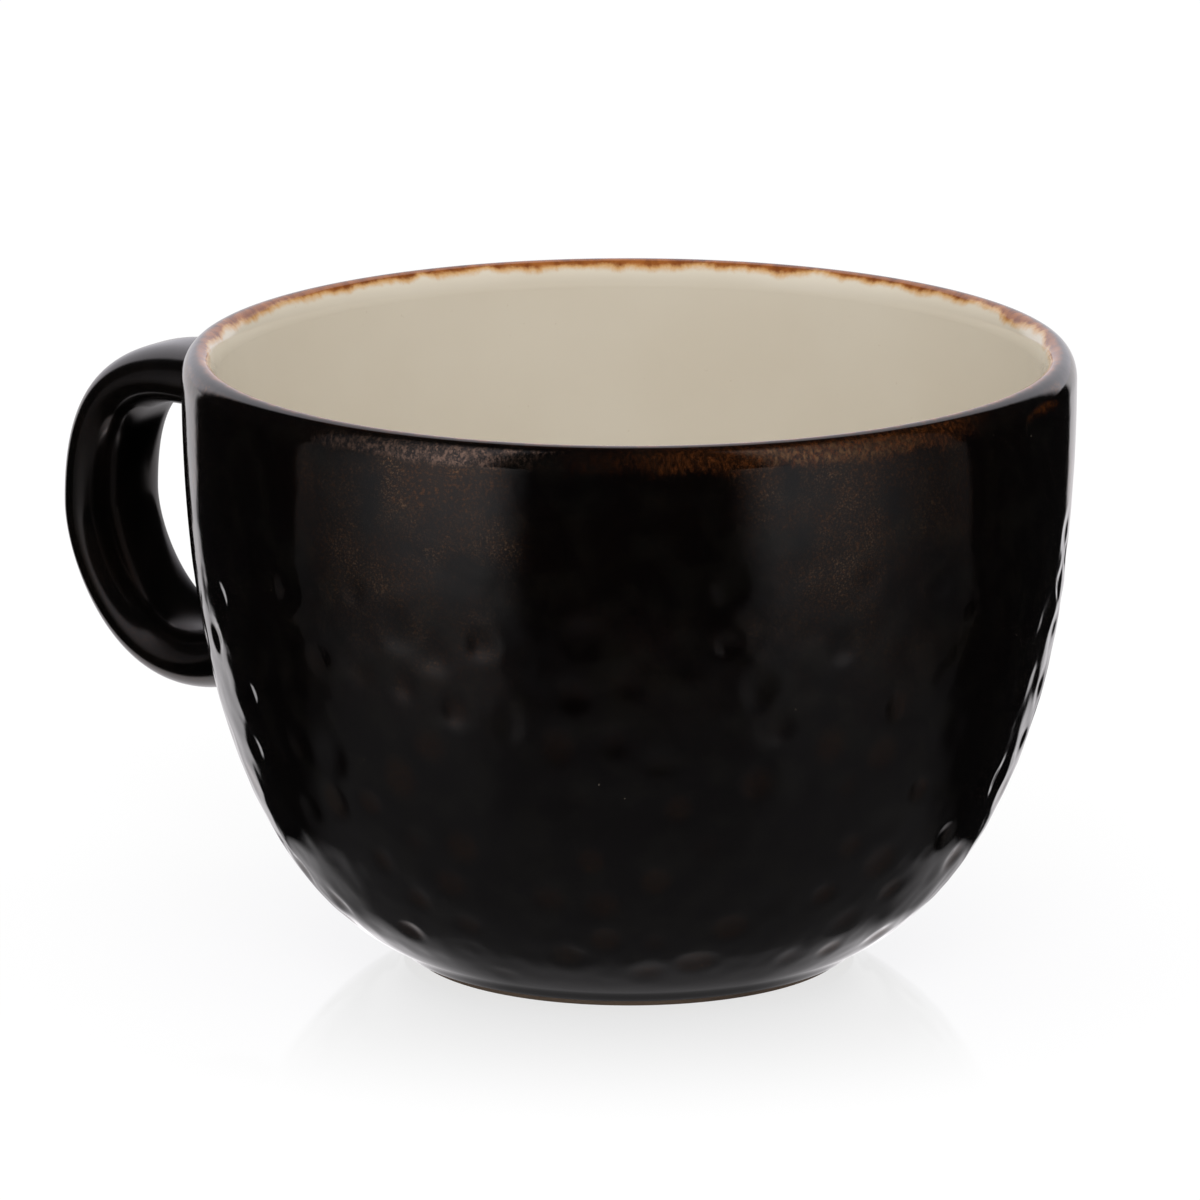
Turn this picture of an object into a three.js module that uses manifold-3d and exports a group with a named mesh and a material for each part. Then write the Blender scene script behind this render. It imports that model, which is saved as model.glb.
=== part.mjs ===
// Latte mug of glazed stoneware: a wide bowl on a low foot ring, with an ear handle.
// Sizes are in millimetres. +Z is up, the foot stands on Z = 0 and the handle points along -X.
import * as THREE from 'three';
import { mergeVertices } from 'three/addons/utils/BufferGeometryUtils.js';
import Module from 'manifold-3d';

const wasm = await Module();
wasm.setup();

// Bowl, measured over its glaze
const RIM_DIAMETER = 112;
const MUG_HEIGHT = 77.6;
const LIP_THICKNESS = 4.2;
const LIP_ROUND = 3.4;
const WALL_AT_FOOT = 6.6;
const WALL_RISE_ANGLE = THREE.MathUtils.degToRad(25);
const BASE_FULLNESS = 0.33;
const SIDE_FULLNESS = 0.77;
const FLOOR_ROUND = 5;

// Foot ring
const FOOT_DIAMETER = 55;
const FOOT_HEIGHT = 2.4;
const FOOT_FLARE = 2.8;
const FOOT_RING_WIDTH = 4.6;
const FOOT_RECESS = 1.7;
const FOOT_EDGE = 0.5;

// Glaze
const GLAZE = 0.4;
const DRY_FOOT = 1;

// Handle, measured over its glaze
const HANDLE_PROJECTION = 29.4;
const HANDLE_TOP_DROP = 12.5;
const HANDLE_SPAN = 29.4;
const HANDLE_WIDTH = 16.4;
const HANDLE_THICKNESS = 7.6;
const HANDLE_TAIL_SWELL = 0.8;
const HANDLE_TAIL_ANGLE = THREE.MathUtils.degToRad(41);
const HANDLE_CROWN = 0.5;
const EAR_LEVEL = 0.58;
const TOP_PULL = 0.3;
const EAR_PULL = 0.83;
const FALL_PULL = 0.29;
const TAIL_PULL = 0.84;

// Slip joints
const JOINT_HEIGHT = 3.2;
const JOINT_FLARE = 2.2;
const JOINT_GAP = 0.3;

// Facets of round shapes
const ROUND_SIDES = 48;
const WALL_STEPS = 10;
const LIP_STEPS = 6;
const FLOOR_STEPS = 3;
const STRAP_SIDES = 16;
const STRAP_STEPS = 22;
const JOINT_STEPS = 4;

const rimRadius = RIM_DIAMETER / 2;
const footRadius = FOOT_DIAMETER / 2;

// Outline helpers: points hold radius as x and height as y
function point(radius, height) {
  return new THREE.Vector2(radius, height);
}

// Moves an open outline to its left by the given amount, keeping its corners sharp
function offsetOutline(outline, amount) {
  const last = outline.length - 1;
  return outline.map((here, i) => {
    const before = here.clone().sub(outline[Math.max(i - 1, 0)]);
    const after = outline[Math.min(i + 1, last)].clone().sub(here);
    const enter = (i > 0 ? before : after).clone().normalize();
    const leave = (i < last ? after : before).clone().normalize();
    const normal = point(-enter.y - leave.y, enter.x + leave.x).normalize();
    const squareOn = normal.dot(point(-enter.y, enter.x));
    return here.clone().addScaledVector(normal, amount / squareOn);
  });
}

// Outside of the glazed bowl, from the foot up to where the lip starts to round
const wallStart = point(footRadius + FOOT_FLARE, FOOT_HEIGHT);
const wallEnd = point(rimRadius, MUG_HEIGHT - LIP_ROUND);
const basePull = (wallEnd.x - wallStart.x) * BASE_FULLNESS;
const sidePull = (wallEnd.y - wallStart.y) * SIDE_FULLNESS;
const wallCurve = new THREE.CubicBezierCurve(
  wallStart,
  point(wallStart.x + basePull * Math.cos(WALL_RISE_ANGLE), wallStart.y + basePull * Math.sin(WALL_RISE_ANGLE)),
  point(wallEnd.x, wallEnd.y - sidePull),
  wallEnd,
);
const wallOutline = wallCurve.getPoints(WALL_STEPS);
const glazeStart = point(footRadius + FOOT_FLARE * DRY_FOOT / FOOT_HEIGHT, DRY_FOOT);
const outsideOutline = [glazeStart, ...wallOutline];

// Lip: half an ellipse from the outside wall over to the inside wall
const lipCurve = new THREE.EllipseCurve(
  rimRadius - LIP_THICKNESS / 2, wallEnd.y, LIP_THICKNESS / 2, LIP_ROUND, 0, Math.PI, false, 0);
const lipOutline = lipCurve.getPoints(LIP_STEPS);

// Inside: the wall grows thicker towards the foot, then rounds into the flat floor
const insideWall = wallOutline.map((here, i) => {
  const along = wallCurve.getTangent(i / WALL_STEPS);
  const thickness = THREE.MathUtils.lerp(WALL_AT_FOOT, LIP_THICKNESS, i / WALL_STEPS);
  return point(here.x - along.y * thickness, here.y + along.x * thickness);
}).reverse();
const wallFoot = insideWall[WALL_STEPS];
const inward = wallFoot.clone().sub(insideWall[WALL_STEPS - 1]).normalize();
const floorCorner = wallFoot.clone().addScaledVector(inward, FLOOR_ROUND);
const floorCurve = new THREE.QuadraticBezierCurve(
  wallFoot, floorCorner, point(floorCorner.x - FLOOR_ROUND, floorCorner.y));
const floorRound = floorCurve.getPoints(FLOOR_STEPS);
const floorCentre = point(0, floorCorner.y);
const insideOutline = [...insideWall, ...floorRound.slice(1), floorCentre];

// The clay lies one glaze thickness under the whole glazed surface
const glazed = [...outsideOutline, ...lipOutline.slice(1), ...insideOutline.slice(1)];
const clay = offsetOutline(glazed, GLAZE);
const rimFrom = outsideOutline.length - 1;
const rimTo = rimFrom + LIP_STEPS;

// Turns an outline about the vertical axis
function turned(outline) {
  const geometry = new THREE.LatheGeometry(outline, ROUND_SIDES);
  geometry.rotateX(Math.PI / 2);
  return geometry;
}

// A band of glaze between the glazed surface and the clay, over one stretch of the outline
function glazeBand(from, to) {
  const outline = [...glazed.slice(from, to + 1), ...clay.slice(from, to + 1).reverse()];
  return [...outline, outline[0].clone()];
}

const footRing = [
  point(0, FOOT_RECESS),
  point(footRadius - FOOT_RING_WIDTH - FOOT_RECESS, FOOT_RECESS),
  point(footRadius - FOOT_RING_WIDTH, 0),
  point(footRadius - FOOT_EDGE, 0),
  point(footRadius, FOOT_EDGE / 2),
];
const bowlShape = turned([...footRing, ...clay]);
const rimShape = turned(glazeBand(rimFrom, rimTo));
const insideShape = turned([...clay.slice(rimTo).reverse(), ...glazed.slice(rimTo)]);

// Booleans
function toSolid(geometry) {
  const plain = geometry.clone();
  plain.deleteAttribute('normal');
  plain.deleteAttribute('uv');
  const merged = mergeVertices(plain, 1e-4);
  return new wasm.Manifold(new wasm.Mesh({
    numProp: 3,
    vertProperties: new Float32Array(merged.attributes.position.array),
    triVerts: new Uint32Array(merged.index.array),
  }));
}

function toGeometry(solid) {
  const mesh = solid.getMesh();
  const geometry = new THREE.BufferGeometry();
  geometry.setAttribute('position', new THREE.BufferAttribute(new Float32Array(mesh.vertProperties), 3));
  geometry.setIndex(new THREE.BufferAttribute(new Uint32Array(mesh.triVerts), 1));
  const facets = geometry.toNonIndexed();
  facets.computeVertexNormals();
  return facets;
}

// Handle centre line: out of the wall under the rim, round the ear and back in along the tail
function wallRadius(height) {
  const level = THREE.MathUtils.clamp(height, wallStart.y, wallEnd.y);
  const next = Math.max(1, wallOutline.findIndex((here) => here.y >= level));
  const upper = wallOutline[next];
  const lower = wallOutline[next - 1];
  return THREE.MathUtils.mapLinear(level, lower.y, upper.y, lower.x, upper.x);
}

const topHeight = MUG_HEIGHT - HANDLE_TOP_DROP;
const tailHeight = topHeight - HANDLE_SPAN;
const handleTop = new THREE.Vector3(wallRadius(topHeight) - GLAZE, 0, topHeight);
const handleTail = new THREE.Vector3(wallRadius(tailHeight) - GLAZE, 0, tailHeight);
const handleOuter = new THREE.Vector3(
  rimRadius + HANDLE_PROJECTION - HANDLE_THICKNESS / 2, 0, topHeight - HANDLE_SPAN * EAR_LEVEL);
const topRun = handleOuter.x - handleTop.x;
const tailReach = (handleOuter.x - handleTail.x) * TAIL_PULL;
const ear = new THREE.CubicBezierCurve3(
  handleTop,
  handleTop.clone().add(new THREE.Vector3(topRun * TOP_PULL, 0, 0)),
  handleOuter.clone().add(new THREE.Vector3(0, 0, HANDLE_SPAN * EAR_PULL)),
  handleOuter,
);
const tail = new THREE.CubicBezierCurve3(
  handleOuter,
  handleOuter.clone().sub(new THREE.Vector3(0, 0, HANDLE_SPAN * FALL_PULL)),
  handleTail.clone().add(new THREE.Vector3(
    tailReach * Math.cos(HANDLE_TAIL_ANGLE), 0, -tailReach * Math.sin(HANDLE_TAIL_ANGLE))),
  handleTail,
);
const handlePath = new THREE.CurvePath();
handlePath.add(ear);
handlePath.add(tail);
const earShare = ear.getLength() / handlePath.getLength();

// One ring of the strap, at a share of the centre line: half-round edges, faces with a slight
// crown, and a stouter section along the tail
function strapRing(at, grow) {
  const centre = handlePath.getPointAt(at);
  const across = new THREE.Vector3(0, 1, 0);
  const gripward = new THREE.Vector3().crossVectors(across, handlePath.getTangentAt(at));
  const alongTail = Math.max(0, (at - earShare) / (1 - earShare));
  const edgeRadius = HANDLE_THICKNESS / 2 + HANDLE_TAIL_SWELL * alongTail ** 2 + grow;
  const halfFace = (HANDLE_WIDTH - HANDLE_THICKNESS) / 2;
  const ring = [];
  for (let i = 0; i < STRAP_SIDES; i += 1) {
    const angle = i * 2 * Math.PI / STRAP_SIDES;
    const sine = Math.sin(angle);
    const acrossFace = Math.sign(sine) * Math.abs(sine) ** HANDLE_CROWN;
    ring.push(centre.clone()
      .addScaledVector(gripward, edgeRadius * Math.cos(angle))
      .addScaledVector(across, edgeRadius * sine + halfFace * acrossFace));
  }
  return ring;
}

// Joins rings into a surface, splitting each facet along its shorter diagonal.
// A closed band returns to its first ring, and others get flat ends.
function loft(rings, closedBand) {
  const corners = rings.flat();
  const faces = [];
  const sides = rings[0].length;
  const spans = closedBand ? rings.length : rings.length - 1;
  for (let k = 0; k < spans; k += 1) {
    const here = k * sides;
    const next = ((k + 1) % rings.length) * sides;
    for (let i = 0; i < sides; i += 1) {
      const j = (i + 1) % sides;
      const quad = [here + i, here + j, next + j, next + i];
      const [a, b, c, d] = quad.map((corner) => corners[corner]);
      const order = a.distanceTo(c) <= b.distanceTo(d) ? [0, 1, 2, 0, 2, 3] : [0, 1, 3, 1, 2, 3];
      faces.push(...order.map((corner) => quad[corner]));
    }
  }
  if (!closedBand) {
    const lastRing = (rings.length - 1) * sides;
    for (let i = 1; i < sides - 1; i += 1) {
      faces.push(0, i + 1, i);
      faces.push(lastRing, lastRing + i, lastRing + i + 1);
    }
  }
  const geometry = new THREE.BufferGeometry().setFromPoints(corners);
  geometry.setIndex(faces);
  return geometry;
}

// The strap runs between the two joints, and its glaze is a sleeve over the same stretch
const upperEnd = JOINT_HEIGHT / handlePath.getLength();
const lowerEnd = 1 - upperEnd;
const strapStations = [];
for (let k = 0; k <= STRAP_STEPS; k += 1) {
  strapStations.push(THREE.MathUtils.lerp(upperEnd, lowerEnd, k / STRAP_STEPS));
}
const coreRings = strapStations.map((at) => strapRing(at, -GLAZE));
const glazeRings = strapStations.map((at) => strapRing(at, 0));
const handleShape = loft(coreRings, false);
const sleeveShape = loft([...glazeRings, ...coreRings.reverse()], true);

// Distance from a point outside the bowl to its wall, looking along the given direction
function distanceToWall(from, direction) {
  let near = 0;
  let far = WALL_AT_FOOT + JOINT_HEIGHT;
  for (let halving = 0; halving < 40; halving += 1) {
    const middle = (near + far) / 2;
    const probe = from.clone().addScaledVector(direction, middle);
    if (Math.hypot(probe.x, probe.y) > wallRadius(probe.z)) {
      near = middle;
    } else {
      far = middle;
    }
  }
  return near;
}

// Joint: each side of the strap's end sweeps out in a quarter round that lands on the wall
function jointFlare(end, grow) {
  const isUpper = end === upperEnd;
  const direction = handlePath.getTangentAt(end).multiplyScalar(isUpper ? -1 : 1);
  const rings = [];
  for (let k = 0; k <= JOINT_STEPS; k += 1) {
    const angle = k * Math.PI / (2 * JOINT_STEPS);
    const section = strapRing(end, JOINT_FLARE * (1 - Math.cos(angle)) + grow);
    rings.push(section.map((corner) => (
      corner.addScaledVector(direction, distanceToWall(corner, direction) * Math.sin(angle)))));
  }
  const landed = rings[JOINT_STEPS];
  rings.push(landed.map((corner) => corner.clone().addScaledVector(direction, JOINT_HEIGHT)));
  return toSolid(loft(isUpper ? rings.reverse() : rings, false));
}

const gapOutline = offsetOutline(clay.slice(0, rimFrom + 1), -JOINT_GAP);
const wallBlock = toSolid(turned([
  point(0, gapOutline[0].y),
  ...gapOutline,
  point(0, gapOutline[gapOutline.length - 1].y),
]));
const outsideShape = toGeometry(toSolid(turned(glazeBand(0, rimFrom)))
  .subtract(jointFlare(upperEnd, JOINT_GAP))
  .subtract(jointFlare(lowerEnd, JOINT_GAP)));
const upperJointShape = toGeometry(jointFlare(upperEnd, 0).subtract(wallBlock));
const lowerJointShape = toGeometry(jointFlare(lowerEnd, 0).subtract(wallBlock));

// Pieces
function piece(name, geometry, color, roughness) {
  const material = new THREE.MeshStandardMaterial({ color, roughness, metalness: 0 });
  if (!geometry.attributes.normal) {
    geometry.computeVertexNormals();
  }
  const mesh = new THREE.Mesh(geometry, material);
  mesh.name = name;
  return mesh;
}

const bowlSet = new THREE.Group();
bowlSet.name = 'bowl_set';
bowlSet.add(piece('bowl', bowlShape, 0x7d6552, 0.85));
bowlSet.add(piece('outside_glaze', outsideShape, 0x17100c, 0.12));
bowlSet.add(piece('rim_glaze', rimShape, 0x5a3218, 0.18));
bowlSet.add(piece('inside_glaze', insideShape, 0xd8ccb8, 0.2));

const handleSet = new THREE.Group();
handleSet.name = 'handle_set';
handleSet.add(piece('handle', handleShape, 0x7d6552, 0.85));
handleSet.add(piece('handle_glaze', sleeveShape, 0x17100c, 0.12));
handleSet.add(piece('upper_slip_joint', upperJointShape, 0x17100c, 0.15));
handleSet.add(piece('lower_slip_joint', lowerJointShape, 0x17100c, 0.15));

// The handle turns to -X, and the origin sits under the middle of the whole outline
const mug = new THREE.Group();
mug.name = 'latte_mug';
mug.add(bowlSet, handleSet);
mug.rotation.z = Math.PI;
mug.position.x = HANDLE_PROJECTION / 2;

export default mug;
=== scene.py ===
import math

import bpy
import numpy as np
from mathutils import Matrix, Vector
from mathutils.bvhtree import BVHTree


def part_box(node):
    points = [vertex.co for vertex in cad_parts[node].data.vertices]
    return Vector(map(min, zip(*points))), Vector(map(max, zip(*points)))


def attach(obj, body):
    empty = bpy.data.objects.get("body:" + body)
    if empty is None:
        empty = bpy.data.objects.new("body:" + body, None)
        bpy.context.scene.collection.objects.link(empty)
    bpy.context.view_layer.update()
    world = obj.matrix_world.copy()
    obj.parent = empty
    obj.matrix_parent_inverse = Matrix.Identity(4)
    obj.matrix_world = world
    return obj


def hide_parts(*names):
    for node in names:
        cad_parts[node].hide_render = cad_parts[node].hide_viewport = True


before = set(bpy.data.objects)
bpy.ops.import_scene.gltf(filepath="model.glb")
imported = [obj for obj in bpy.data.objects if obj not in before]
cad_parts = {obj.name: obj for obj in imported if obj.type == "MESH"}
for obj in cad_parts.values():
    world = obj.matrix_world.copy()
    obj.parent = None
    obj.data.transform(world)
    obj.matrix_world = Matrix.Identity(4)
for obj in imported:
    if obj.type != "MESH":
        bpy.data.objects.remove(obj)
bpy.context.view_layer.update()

# %% [markdown]
# # A glazed latte mug
# The mug is fired stoneware: a wide bowl on a low foot, an ear handle, a near-black glaze outside
# and a cream glaze inside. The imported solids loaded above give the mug's size and place, and the
# finer sizes named below repeat theirs. The lesson makes the fine surfaces over them: the pressed
# wall, the soft lip and the flowing handle.

MM = 0.001

# %% [markdown]
# ## The camera
# The photograph was taken with a long lens from 14 degrees above the table, with the handle turned
# 35 degrees away. A camera is best set first, because every later look is judged through it. It
# aims at a point near the middle of the bowl, and the lens follows from the size of the rim in the
# image.

# %% Camera
VIEW_AZIMUTH = math.radians(35)
VIEW_ELEVATION = math.radians(13.756)
VIEW_DISTANCE = 1.5
AIM_RIGHT = -3.645 * MM
AIM_HEIGHT = 45.283 * MM
SENSOR_WIDTH = 36
LENS = 358.2

coat_low, coat_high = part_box("outside_glaze")
AXIS_X = (coat_low.x + coat_high.x) / 2
view_right = Vector((math.cos(VIEW_AZIMUTH), math.sin(VIEW_AZIMUTH), 0))
view_front = Vector((math.sin(VIEW_AZIMUTH), -math.cos(VIEW_AZIMUTH), 0))


def placed(name, data):
    """A new object in the scene."""
    made = bpy.data.objects.new(name, data)
    bpy.context.scene.collection.objects.link(made)
    return made


def aimed(thing, place, heading):
    """Puts a camera or a lamp at a place and turns it to look along a heading."""
    thing.location = place
    thing.rotation_mode = "QUATERNION"
    thing.rotation_quaternion = heading.to_track_quat("-Z", "Y")


aim = Vector((AXIS_X, 0, AIM_HEIGHT)) + view_right * AIM_RIGHT
backward = view_front * math.cos(VIEW_ELEVATION) + Vector((0, 0, math.sin(VIEW_ELEVATION)))
camera = placed("camera", bpy.data.cameras.new("camera"))
camera.data.sensor_width = SENSOR_WIDTH
camera.data.lens = LENS
camera.data.clip_end = 50
aimed(camera, aim + backward * VIEW_DISTANCE, -backward)
bpy.context.scene.camera = camera
bpy.context.scene.view_settings.view_transform = "Standard"
print("camera at", [round(v, 3) for v in camera.location])

# %% [markdown]
# ## Sums in node trees
# A finish is easiest to read as a sum, such as one minus a mask. The class below holds one output
# socket, and each sum on it adds a Math node. Every other node comes from one method that sets
# its options first, then fills its sockets with numbers or links. Vectors and colours have nodes of
# their own, because a Math node would turn a colour grey.

# %% Signals and trees
class Signal:
    """One output socket of a node tree, on which sums can be written."""

    def __init__(self, tree, socket):
        self.tree = tree
        self.socket = socket

    def sum(self, operation, first, second):
        """A Math node on two values."""
        return self.tree.node("ShaderNodeMath", {"operation": operation}, {0: first, 1: second})

    def __add__(self, other):
        return self.sum("ADD", self, other)

    def __sub__(self, other):
        return self.sum("SUBTRACT", self, other)

    def __rsub__(self, other):
        return self.sum("SUBTRACT", other, self)

    def __mul__(self, other):
        return self.sum("MULTIPLY", self, other)

    def __truediv__(self, other):
        return self.sum("DIVIDE", self, other)

    def __gt__(self, other):
        return self.sum("GREATER_THAN", self, other)

    def at_least(self, other):
        return self.sum("MAXIMUM", self, other)

    def fade(self, low, high):
        """0 at low and 1 at high, with a soft start and end."""
        return self.tree.node(
            "ShaderNodeMapRange",
            {"interpolation_type": "SMOOTHSTEP"},
            {"Value": self, "From Min": low, "From Max": high},
        )

    __radd__ = __add__
    __rmul__ = __mul__


class Tree:
    """A node tree with one way to add nodes."""

    def __init__(self, nodes):
        self.tree = nodes

    def node(self, kind, settings=None, sockets=None, output=0):
        """Adds a node by its type, sets its options, then gives its sockets values or links."""
        made = self.tree.nodes.new(kind)
        for name, value in (settings or {}).items():
            setattr(made, name, value)
        for name, value in (sockets or {}).items():
            if isinstance(value, Signal):
                self.tree.links.new(value.socket, made.inputs[name])
            else:
                made.inputs[name].default_value = value
        return Signal(self, made.outputs[output]) if made.outputs else None


# %% Vectors and colours
def vector_sum(tree, operation, first, second):
    """A vector worked out from two others."""
    return tree.node("ShaderNodeVectorMath", {"operation": operation}, {0: first, 1: second})


def length(tree, arrow):
    """How long an arrow is."""
    return tree.node("ShaderNodeVectorMath", {"operation": "LENGTH"}, {0: arrow}, output="Value")


def reach_towards(tree, arrow, side):
    """How far an arrow reaches towards a side."""
    return tree.node("ShaderNodeVectorMath", {"operation": "DOT_PRODUCT"},
                     {0: arrow, 1: tuple(side)}, output="Value")


def coordinate(tree, place, axis):
    """The X, Y or Z of a place."""
    return tree.node("ShaderNodeSeparateXYZ", sockets={0: place}, output=axis)


def blend(tree, mask, first, second):
    """Two colours mixed by a mask."""
    return tree.node("ShaderNodeMix", {"data_type": "RGBA"},
                     {"Factor": mask, 6: first, 7: second}, output=2)


# %% [markdown]
# ## The studio light
# A dark gloss glaze shows what lies round it more than its own colour, so the light matters as much
# as the material. In the photograph the wall mirrors two long pale panels left and right of the
# camera, a dark room between them and the white of the backdrop along both edges. Real panels could
# stand round the mug, but they would also light the table. So the world shows the panels and a
# round patch of white backdrop to mirrored rays only, and lights everything else evenly. Places in
# it are given by degrees round the mug's axis, from the camera.

# %% Light panels
LEFT_PANEL = 0.46
LEFT_END = 87
RIGHT_PANEL = 0.33
RIGHT_END = 90
PANEL_SOFTNESS = 14
DIMS_FROM = 42
DIMS_TO = 82
DIMS_BY = 0.8


def turn_from_front(tree, arrow):
    """Degrees that an arrow is turned to the right of the camera, about the mug's axis."""
    right = reach_towards(tree, arrow, view_right)
    front = reach_towards(tree, arrow, view_front)
    return tree.node("ShaderNodeMath", {"operation": "ARCTAN2"}, {0: right, 1: front}) * (180 / math.pi)


def panel_across(turn, start, end):
    """A pale panel beside the camera: it starts softly, dims outwards and ends sharply."""
    shown = turn.fade(start, start + PANEL_SOFTNESS)
    dimmed = 1 - DIMS_BY * turn.fade(DIMS_FROM, DIMS_TO)
    return shown * dimmed * (1 - turn.fade(end - 1, end + 1))


print("panels end", LEFT_END, "degrees left and", RIGHT_END, "degrees right of the camera")

# %% World
AMBIENT = 1.14
DARK_ROOM = 0.01
PANEL_START = 30
BACKDROP_LIFT = math.radians(20)
WHITE = (1, 1, 1, 1)
MIRRORED_WHITE = (0.95, 0.93, 1, 1)

world = bpy.data.worlds.new("studio")
world.use_nodes = True
world.node_tree.nodes.clear()
sky = Tree(world.node_tree)
seen = sky.node("ShaderNodeLightPath", output="Is Camera Ray")
mirrored = sky.node("ShaderNodeLightPath", output="Is Glossy Ray")
direction = sky.node("ShaderNodeTexCoord", output="Generated")

backdrop_middle = Vector((0, 0, math.sin(BACKDROP_LIFT))) - view_front * math.cos(BACKDROP_LIFT)
backdrop_patch = reach_towards(sky, direction, backdrop_middle).fade(0.7, 0.79)
sky_turn = turn_from_front(sky, direction)
sky_panels = (panel_across(0 - sky_turn, PANEL_START, LEFT_END) * LEFT_PANEL
              + panel_across(sky_turn, PANEL_START, RIGHT_END) * RIGHT_PANEL)
below_ceiling = 1 - coordinate(sky, direction, "Z").fade(0.8, 0.97)
in_mirror = (DARK_ROOM + (1 - DARK_ROOM) * backdrop_patch).at_least(sky_panels * below_ceiling)
level = AMBIENT * (1 - mirrored - seen) + in_mirror * mirrored + seen
background = sky.node("ShaderNodeBackground", sockets={
    "Color": blend(sky, mirrored, WHITE, MIRRORED_WHITE), "Strength": level})
sky.node("ShaderNodeOutputWorld", sockets={"Surface": background})
bpy.context.scene.world = world
print("world has", len(world.node_tree.nodes), "nodes")

# %% [markdown]
# ## The table
# The mug stands on a white table that fills the picture. The bulging wall mirrors the table more
# than anything else, so the table's material holds the near ends of the panels, the dark room and
# the backdrop, by degrees round the mug's axis and metres from it. Mirrored rays alone see them.
# The camera sees white, with the mug's own shadow and its faint mirror image at the foot.

# %% Table
TABLE_SIZE = 12
TABLE_DROP = 0.05 * MM

bpy.ops.mesh.primitive_grid_add(x_subdivisions=2, y_subdivisions=2, size=TABLE_SIZE)
table = bpy.context.object
table.name = "table"
table.location.z = -TABLE_DROP
print("table is", TABLE_SIZE, "m wide")

# %% What the wall mirrors of the table
NEAR_PANEL_START = 22
NEAR_PANEL_END = 70
GROUND = 0.9
DARK_TABLE = 0.006
FRONT_GLOW = 0.085
SIDE_GLOW = 0.6
FOOT_GLOW = 0.16


def new_finish(name):
    """A new material, still empty, and its tree."""
    material = bpy.data.materials.new(name)
    material.use_nodes = True
    material.node_tree.nodes.clear()
    return material, Tree(material.node_tree)


def from_axis(tree):
    """The arrow to each point from where the mug's axis meets the table."""
    place = tree.node("ShaderNodeTexCoord", output="Object")
    return vector_sum(tree, "SUBTRACT", place, (AXIS_X, 0, 0))


def panel(turn, end):
    """The part of a panel that lies on the table: narrower near the mug, and brighter far off."""
    far_end = NEAR_PANEL_END + (end - NEAR_PANEL_END) * radius.fade(0.06, 0.2)
    return panel_across(turn, NEAR_PANEL_START, far_end) * radius.fade(0.03, 0.36)


def backdrop(turn, start, opening):
    """The white ground behind the mug: it starts further round the further off it is."""
    edge = start + opening * radius.fade(0.09, 0.215)
    return turn.fade(edge - 2, edge + 2) * GROUND


table_finish, white = new_finish("white table")
arrow = from_axis(white)
radius = length(white, arrow)
turn_right = turn_from_front(white, arrow)
turn_left = 0 - turn_right
turn_away = turn_right.at_least(turn_left)

# Painted light and shade for mirrored rays only: the panels, a painted glow in front of the mug, beside
# it and at its foot, the white ground, and a painted shade where the mug's own shadow lies behind it.
panels = panel(turn_left, LEFT_END) * LEFT_PANEL + panel(turn_right, RIGHT_END) * RIGHT_PANEL
painted_glow_in_front = (1 - radius.fade(0.02, 0.22)) * FRONT_GLOW
not_beside = 1 - turn_away.fade(69, 90) * radius.fade(0.055, 0.06)
right_half = reach_towards(white, arrow, view_right).fade(-0.03, -0.01)
own_shade = turn_away.fade(147, 153) * (1 - radius.fade(0.14, 0.17)) * right_half
ground = backdrop(turn_left, 117, 23).at_least(backdrop(turn_right, 124, 24)) * (1 - own_shade)
painted_glow_beside = turn_away.fade(50, 115) * (1 - radius.fade(0.054, 0.062)) * SIDE_GLOW
painted_glow_at_foot = (1 - radius.fade(0.034, 0.043)) * (FOOT_GLOW + turn_away.fade(30, 95))
mirror_level = DARK_TABLE + painted_glow_in_front * not_beside + panels
mirror_level = mirror_level.at_least(ground).at_least(painted_glow_beside + painted_glow_at_foot)
print("table pattern has", len(table_finish.node_tree.nodes), "nodes")

# %% Table finish
SHADOW_SHARE = 0.14
POLISH_SHARE = 0.15
POLISH_ROUGHNESS = 0.06
MIRROR_TINT = {"Red": 0.985, "Green": 0.955, "Blue": 0.98}


def mixed(tree, factor, first, second):
    """Two shaders mixed by a factor."""
    return tree.node("ShaderNodeMixShader", sockets={"Fac": factor, 1: first, 2: second})


def surface(tree, shader):
    """Makes a shader the surface of its material."""
    tree.node("ShaderNodeOutputMaterial", sockets={"Surface": shader})


mirror_colour = white.node("ShaderNodeCombineColor", sockets={
    channel: mirror_level * share for channel, share in MIRROR_TINT.items()})
to_glaze = white.node("ShaderNodeEmission", sockets={"Color": mirror_colour, "Strength": 1.0})
matt = white.node("ShaderNodeBsdfDiffuse", sockets={"Color": (0.92, 0.92, 0.92, 1)})
bright = white.node("ShaderNodeEmission", sockets={"Color": WHITE, "Strength": 1.0})
shaded = mixed(white, SHADOW_SHARE, bright, matt)
polish = white.node("ShaderNodeBsdfGlossy", sockets={"Color": WHITE, "Roughness": POLISH_ROUGHNESS})
polished = mixed(white, (1 - radius.fade(0.025, 0.085)) * POLISH_SHARE, shaded, polish)
by_camera = white.node("ShaderNodeLightPath", output="Is Camera Ray")
by_mirror = white.node("ShaderNodeLightPath", output="Is Glossy Ray")
surface(white, mixed(white, by_mirror, mixed(white, by_camera, matt, polished), to_glaze))
table.data.materials.append(table_finish)
print("table finish has", len(table_finish.node_tree.nodes), "nodes")

# %% [markdown]
# ## The lamp and the black card
# One wide soft lamp, in front and above, gives the cream inside its shape. A photographer keeps a
# gloss edge dark with a small black card held close to it. This one stands just behind the handle,
# so that the inner face of the strap mirrors black and not the white ground. Only mirrored rays see
# it. Its outer part lets some light through, which leaves a soft gleam inside the ear.

# %% Lamp
LAMP_AIM = 45 * MM
LAMP_FORWARD = 1.2
LAMP_LIFT = 0.95
LAMP_WIDTH = 0.9
LAMP_HEIGHT = 0.7
LAMP_POWER = 9

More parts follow.
